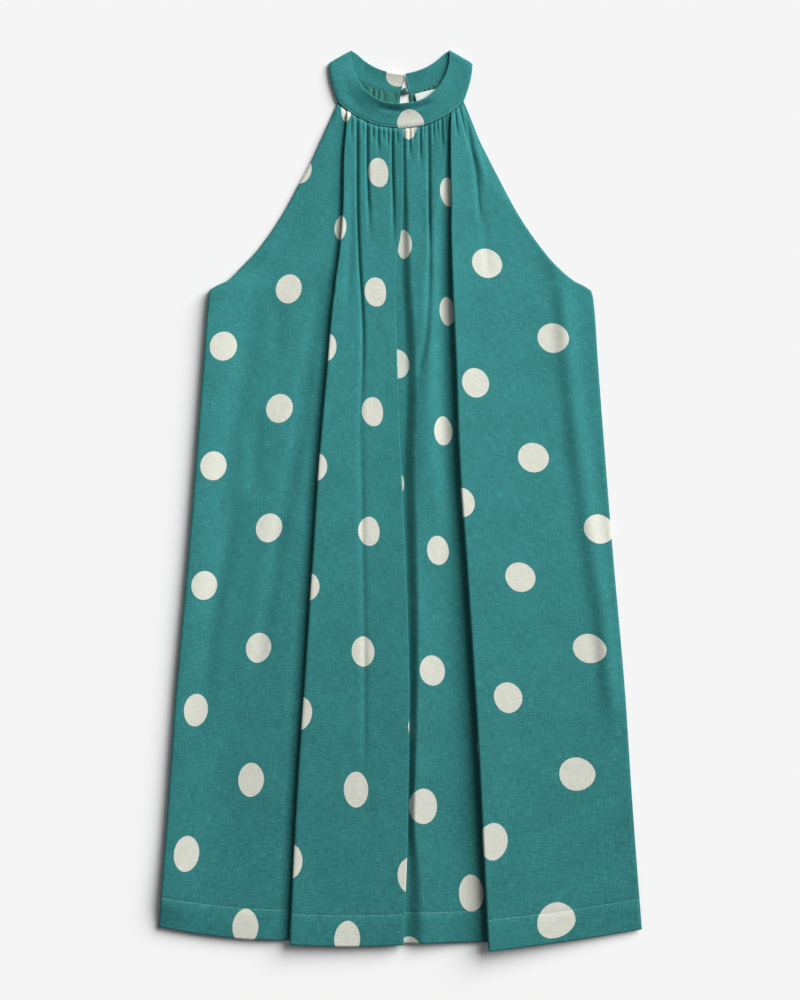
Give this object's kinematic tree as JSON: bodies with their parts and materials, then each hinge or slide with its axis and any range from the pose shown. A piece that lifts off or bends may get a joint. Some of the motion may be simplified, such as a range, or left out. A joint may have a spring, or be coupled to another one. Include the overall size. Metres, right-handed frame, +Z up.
{
  "type": "a-line dress",
  "caption": "Sleeveless A-line dress with a halter neckband, gathered front and back panels and a keyhole back, laid flat with its front up.",
  "frame": {"origin": "on the surface that the dress lies on, under the middle of its bounding box", "axes": "+Y from hem to neck, +Z up out of the surface, +X to the viewer's right as the dress is seen from its front"},
  "size_m": [0.5026, 0.9356, 0.0151],
  "materials": {
    "dotted_linen": "matte plain-weave linen with cream dots",
    "button": "semi-gloss",
    "label": "woven satin, blank"
  },
  "bodies": {
    "root": {"front_panel": "dotted_linen", "back_panel": "dotted_linen", "neckband": "dotted_linen", "button_loop": "dotted_linen", "button": "button", "label": "label"}
  },
  "joints": []
}
